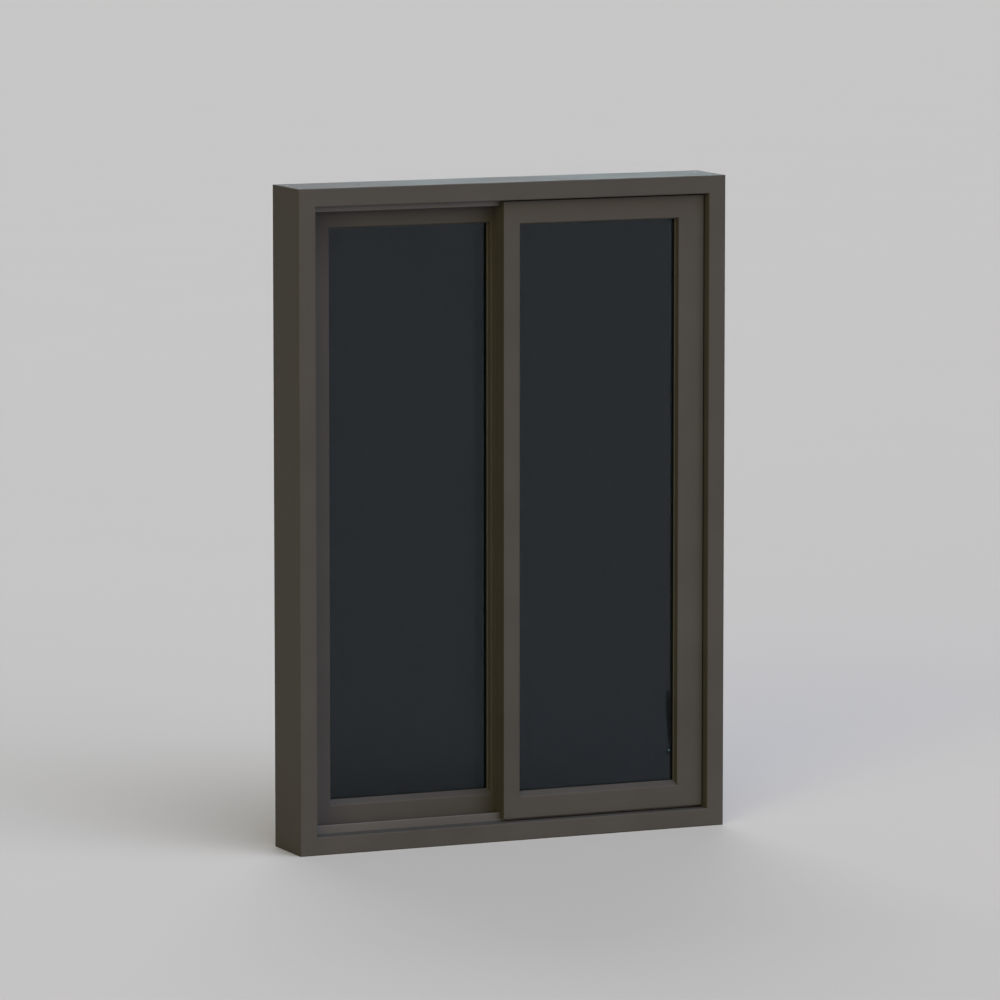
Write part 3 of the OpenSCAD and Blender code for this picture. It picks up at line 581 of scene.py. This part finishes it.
addBrush("closingBrush", "closing_seal", "frame", (-1, 0, 0))
addBrush("fixedSideBrush", "fixed_side_seal", "frame", (1, 0, 0))
addBrush("interlockBrush", "interlock_pile", "sliding_sash", (0, -1, 0))
print("brush strips made")


screw = dict(head=4.0 * mm, shank=2.0 * mm, core=1.5 * mm, sink=2.0 * mm, rim=0.15 * mm,
             wing=0.8 * mm, wingReach=2.2 * mm, recess=1.5 * mm, tip=4.0 * mm,
             pitch=2.4 * mm, steps=6, between=6, frameLength=62.0 * mm,
             rings=(0.12, 0.4, 0.56, 0.9, 1.4, 1.9, 2.18, 2.26, 3.1, 3.8))


# Columns round a screw at one radius: in each quarter three span half a wing of the
# recess, whose edge is at the angle whose sine is half the wing's width over the radius
def wingAngles(radius):
    edge = math.asin(min(screw["wing"] / 2 / radius, math.sin(math.pi / 4) * 0.98))
    gap = min(0.06, (math.pi / 4 - edge) / 2)
    outside = np.linspace(edge + gap, math.pi / 2 - edge - gap, screw["between"])
    quarter = np.concatenate([[0.0, edge * 0.6, edge], outside,
                              [math.pi / 2 - edge, math.pi / 2 - edge * 0.6]])
    return np.concatenate([quarter + k * math.pi / 2 for k in range(4)])


# A wood screw down -Z from its head's face, as one surface of revolution with a cross
# cut in: height = -recess * (1 - radius / reach * 0.55) inside the wings, and over the
# thread radius = core + (shank - core) * ridge(height / pitch + turn). The head's face
# has a ring of points at each of its rings, in mm
def screwForm(length):
    inWing = np.array(([True] * 3 + [False] * screw["between"] + [True] * 2) * 4)
    reach = screw["wingReach"]
    rows = []
    for radius in np.array(screw["rings"]) * mm:
        depth = screw["recess"] * (1.0 - 0.55 * radius / reach) if radius < reach else 0.0
        angle = wingAngles(radius)
        rows.append(np.stack([radius * np.cos(angle), radius * np.sin(angle),
                              np.where(inWing, -depth, 0.0)], axis=-1))
    angle = wingAngles(screw["head"])
    threadTop = -screw["sink"] - max(1.0 * mm, length * 0.25)
    threadEnd = -(length - screw["tip"])
    count = int((threadTop - threadEnd) / screw["pitch"] * screw["steps"])
    height = np.concatenate([[-screw["rim"], -screw["sink"], threadTop],
                             np.linspace(threadTop, threadEnd, count)[1:],
                             np.linspace(threadEnd, -length, 5)[1:]])
    phase = (height[:, None] / screw["pitch"] + angle / (2 * math.pi)) % 1.0
    ridge = np.clip(1.0 - np.abs(phase - 0.5) * 5.0, 0.0, 1.0)
    narrow = np.clip((length + height) / screw["tip"], 0.02, 1.0)[:, None]
    radius = (screw["core"] + (screw["shank"] - screw["core"]) * ridge) * narrow
    radius[:3] = np.array([screw["head"], screw["shank"], screw["shank"]])[:, None]
    rows.extend(np.stack([radius * np.cos(angle), radius * np.sin(angle),
                          np.broadcast_to(height[:, None], radius.shape)], axis=-1))
    return lofted(np.array(rows))


# Screws at these places, driven along into, as one piece that replaces the node
def addScrews(name, node, body, groups):
    forms = []
    for length, into, places in groups:
        into = np.array(into, float)
        side = np.roll(np.abs(into), 1)
        form = screwForm(length)
        forms.extend(placed(form, place, side, np.cross(-into, side), -into)
                     for place in places)
    return addPiece(name, together(forms), body, "steel", node)


# The two ends of a node's box along one axis, moved in by the radius of a screw's head
def headEnds(node, axis):
    low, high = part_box(node)
    return low[axis] + screw["head"], high[axis] - screw["head"]


bracket = dict(thick=2.0 * mm, holeIn=15.0 * mm)


def addAllScrews():
    low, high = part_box("frame_screws")
    length = screw["frameLength"]
    xs, ys = headEnds("frame_screws", 0), headEnds("frame_screws", 1)
    addScrews("frameScrews", "frame_screws", "frame", [
        (length, (0, 0, -1), [(x, y, high.z) for x in xs for y in ys]),
        (length, (0, 0, 1), [(x, y, low.z) for x in xs for y in ys])])

    low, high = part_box("bracket_screws")
    plateLow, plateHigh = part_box("fixing_brackets")
    xs = headEnds("bracket_screws", 0)
    face = plateLow.y + bracket["thick"]
    down = high.y - screw["head"]
    foot, top = plateLow.z + bracket["thick"], plateHigh.z - bracket["thick"]
    legs = (plateLow.z + bracket["holeIn"], plateHigh.z - bracket["holeIn"])
    addScrews("bracketScrews", "bracket_screws", "frame", [
        (face - low.y, (0, -1, 0), [(x, face, z) for x in xs for z in legs]),
        (foot - low.z, (0, 0, -1), [(x, down, foot) for x in xs]),
        (high.z - top, (0, 0, 1), [(x, down, top) for x in xs])])

    low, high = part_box("keeper_screws")
    middle = (low.y + high.y) / 2
    addScrews("keeperScrews", "keeper_screws", "frame", [
        (high.x - low.x, (1, 0, 0),
         [(low.x, middle, z) for z in headEnds("keeper_screws", 2)])])

    low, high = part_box("lock_screws")
    middle = (low.y + high.y) / 2
    addScrews("lockScrews", "lock_screws", "sliding_sash", [
        (high.x - low.x, (-1, 0, 0),
         [(high.x, middle, z) for z in headEnds("lock_screws", 2)])])

    low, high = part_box("handle_screws")
    middle = (low.x + high.x) / 2
    addScrews("handleScrews", "handle_screws", "sliding_sash", [
        (high.y - low.y, (0, -1, 0),
         [(middle, high.y, z) for z in headEnds("handle_screws", 2)])])


addAllScrews()
print("screws made")


gasket = dict(bite=12 * mm, lip=0.5 * mm, groove=0.3 * mm, grooveFrom=1.2 * mm,
              grooveTo=1.9 * mm, grooveEase=0.2 * mm)


# Glazing gasket: an outline in width w, from its sight line outwards, and depth is
# carried round the rectangle, so corner = sight corner + w outwards on both sides
def addGasket(name, node, body):
    low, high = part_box(node)
    lip, bite = gasket["lip"], gasket["bite"]
    turn = np.linspace(1.5 * math.pi, 0.5 * math.pi, 9)
    nose = np.stack([lip + lip * np.cos(turn), lip + lip * np.sin(turn)], axis=-1)
    face = 2 * lip
    land = np.array([[bite, face], [bite, 0.0]])
    start, end, ease = gasket["grooveFrom"], gasket["grooveTo"], gasket["grooveEase"]
    front = np.array([[start, face - gasket["groove"] * 0.4],
                      [start + ease, face - gasket["groove"]],
                      [end, face - gasket["groove"]], [end + ease, face]])
    outline = np.concatenate([nose, front, land])
    width, depth = outline[:, :1], outline[:, 1:]
    sideX, sideZ = np.array([-1, 1, 1, -1]), np.array([-1, -1, 1, 1])
    cornerX = np.where(sideX < 0, low.x + bite, high.x - bite)
    cornerZ = np.where(sideZ < 0, low.z + bite, high.z - bite)
    points = np.stack([cornerX + sideX * width, np.broadcast_to(high.y - depth, (len(outline), 4)),
                       cornerZ + sideZ * width], axis=-1)
    form = outward(points.reshape(-1, 3), gridQuads(len(outline), 4, ring=True), noFaces)
    return addPiece(name, form, body, "gasket", node)


addGasket("slidingGlazingGasket", "sliding_gasket", "sliding_sash")
addGasket("fixedGlazingGasket", "fixed_gasket", "frame")
print("gaskets made")


# The lever in p, out from the sash's face, and z, up from the handle's foot; the two
# grips are the last three points of their curves, in mm
lever = dict(
    pivot=(10 * mm, 113 * mm), hub=5.5 * mm, hubWidth=11.8 * mm, neckHalf=4.5 * mm,
    neckEnd=19.4 * mm, flareEnd=24 * mm, top=122 * mm, under=106 * mm, cornerStart=42.5 * mm,
    bend=27 * mm, topCorner=(44.9 * mm, 120.4 * mm), innerCorner=(29 * mm, 104 * mm),
    outerGrip=((52, 95), (46, 50), (34, 17)), innerGrip=((36, 82), (34, 50), (23, 17)),
    halfWidth=10 * mm, endHalfWidth=8.6 * mm, square=8.0, endLength=3 * mm,
    tailEnd=-12.4 * mm, tailHalf=2.5 * mm, hubEase=0.6 * mm, tailEase=0.6 * mm,
    tailDraw=0.8 * mm, columns=40, hubColumns=48,
    rows=dict(neck=3, flare=9, arm=11, corner=8, grip=33, end=7),
)


# Cubic curve: (1-t)^3 a + 3 (1-t)^2 t b + 3 (1-t) t^2 c + t^3 d
def cubic(a, b, c, d, t):
    t = t[:, None]
    s = 1.0 - t
    return s ** 3 * a + 3 * s * s * t * b + 3 * s * t * t * c + t ** 3 * d


# n even steps from start, which stop one short of the end
def line(start, end, n):
    return np.linspace(start, end, n, endpoint=False)


# Outer and inner edge of the lever's side view, matched point for point
def leverEdges():
    p, z = lever["pivot"]
    half, rows = lever["neckHalf"], lever["rows"]
    ease = np.linspace(0.0, 1.0, rows["flare"])[:, None]
    swell = ease * ease * (3 - 2 * ease)
    flareStart = np.array([[lever["neckEnd"], z + half], [lever["neckEnd"], z - half]])
    flareEnd = np.array([[lever["flareEnd"], lever["top"]], [lever["flareEnd"], lever["under"]]])
    flares = [np.concatenate([a[0] + (b[0] - a[0]) * ease, a[1] + (b[1] - a[1]) * swell], axis=1)
              for a, b in zip(flareStart[:, :, None], flareEnd[:, :, None])]
    neck = [line((p, z + side * half), (lever["neckEnd"], z + side * half),
                 rows["neck"])
            for side in (1, -1)]
    topCorner, innerCorner = (np.array(lever[name]) for name in ("topCorner", "innerCorner"))
    armOut, armIn = [line((lever["flareEnd"], level), (end, level), rows["arm"] + 1)[1:]
                     for level, end in ((lever["top"], lever["cornerStart"]),
                                        (lever["under"], lever["bend"]))]
    t = np.linspace(0.0, 1.0, rows["corner"], endpoint=False)
    start = np.array([lever["cornerStart"], lever["top"]])
    crest = np.array([topCorner[0], lever["top"]])
    cornerOut = cubic(start, start * 0.3 + crest * 0.7, topCorner * 0.35 + crest * 0.65,
                      topCorner, t)
    elbow = np.array([innerCorner[0] - 0.6 * mm, lever["under"]])
    cornerIn = cubic(np.array([lever["bend"], lever["under"]]), elbow, elbow, innerCorner, t)
    t = np.linspace(0.0, 1.0, rows["grip"])
    gripOut = cubic(topCorner, *(np.array(q) * mm for q in lever["outerGrip"]), t)
    gripIn = cubic(innerCorner, *(np.array(q) * mm for q in lever["innerGrip"]), t)
    return (np.concatenate([neck[0], flares[0], armOut, cornerOut, gripOut]),
            np.concatenate([neck[1], flares[1], armIn, cornerIn, gripIn]))


# Section of the lever: a superellipse between its outer and inner edge, where each
# coordinate is sign(cos) * |cos|^(2/square), so a higher square gives fuller corners
def superSection(outer, inner, halfWidth):
    turn = np.linspace(0.0, 2 * math.pi, lever["columns"], endpoint=False)
    power = 2.0 / lever["square"]
    across, deep = (np.sign(f) * np.abs(f) ** power for f in (np.cos(turn), np.sin(turn)))
    middle, half = (outer + inner) / 2, (outer - inner) / 2
    side = middle[:, None, :] + half[:, None, :] * deep[None, :, None]
    x = halfWidth[:, None] * across[None, :]
    return np.concatenate([x[:, :, None], side], axis=-1)


# Grip and neck: a section at each matched pair of edge points. The half width eases by
# 3t^2 - 2t^3 from the hub's to the full one, then falls in a line to the free end, which
# is drawn in along a quarter circle
def gripForm():
    outer, inner = leverEdges()
    p = (outer[:, 0] + inner[:, 0]) / 2
    row, rows = np.arange(len(outer)), lever["rows"]
    flared = rows["neck"] + rows["flare"]
    turned = flared + rows["arm"] + rows["corner"] // 2
    along = np.clip((row - turned) / (len(outer) - 1 - turned), 0.0, 1.0)
    widen = np.clip((p - lever["neckEnd"]) / (lever["flareEnd"] - lever["neckEnd"]), 0.0, 1.0)
    widen = np.where(row > flared, 1.0, widen * widen * (3 - 2 * widen))
    full = lever["halfWidth"] + (lever["endHalfWidth"] - lever["halfWidth"]) * along
    halfWidth = lever["hubWidth"] / 2 + (full - lever["hubWidth"] / 2) * widen
    middle, half = (outer[-1] + inner[-1]) / 2, (outer[-1] - inner[-1]) / 2
    away = (outer[-1] + inner[-1] - outer[-2] - inner[-2]) / 2
    away = away / np.linalg.norm(away)
    turn = np.linspace(0.0, math.pi / 2, rows["end"] + 1)[1:, None] * 0.97
    shrink = 1.0 - lever["endLength"] / np.linalg.norm(half) * (1 - np.cos(turn))
    centre = middle + away * lever["endLength"] * np.sin(turn)
    narrow = halfWidth[-1] - lever["endLength"] * (1 - np.cos(turn[:, 0]))
    outer = np.concatenate([outer, centre + half * shrink])
    inner = np.concatenate([inner, centre - half * shrink])
    return lofted(superSection(outer, inner, np.concatenate([halfWidth, narrow])))


# Solid of revolution about X through the lever's pivot: a rim with eased corners
def hubForm():
    radius, half, ease = lever["hub"], lever["hubWidth"] / 2, lever["hubEase"]
    turn = np.linspace(0.0, 2 * math.pi, lever["hubColumns"], endpoint=False)
    corner = np.linspace(0.0, math.pi / 2, 5)
    x = np.concatenate([-half + ease - ease * np.cos(corner), half - ease + ease * np.sin(corner)])
    r = np.concatenate([radius - ease + ease * np.sin(corner),
                        radius - ease + ease * np.cos(corner)])
    p, z = lever["pivot"]
    sections = np.stack([np.broadcast_to(x[:, None], (len(x), len(turn))),
                         p + r[:, None] * np.cos(turn), z + r[:, None] * np.sin(turn)], axis=-1)
    return lofted(sections)


# Square bar along p with rounded corners, drawn in at its free end
def tailForm():
    end = lever["tailEnd"]
    p = np.array([lever["pivot"][0], end + lever["tailDraw"], end])
    share = np.array([1.0, 1.0, 0.7])
    outline = roundedOutline(lever["tailHalf"], lever["tailHalf"], lever["tailEase"])
    sections = np.stack([outline[None, :, 0] * share[:, None],
                         np.broadcast_to(p[:, None], (3, len(outline))),
                         lever["pivot"][1] + outline[None, :, 1] * share[:, None]], axis=-1)
    return lofted(sections)


def addLever():
    low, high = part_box("handle_base")
    place = ((low.x + high.x) / 2, low.y, low.z)
    forms = together([gripForm(), hubForm(), tailForm()])
    form = placed(forms, place, (1, 0, 0), (0, 1, 0), (0, 0, 1))
    return addPiece("leverHandle", form, "lever", "handle", "lock_lever", 50.0)


addLever()
print("lever made")
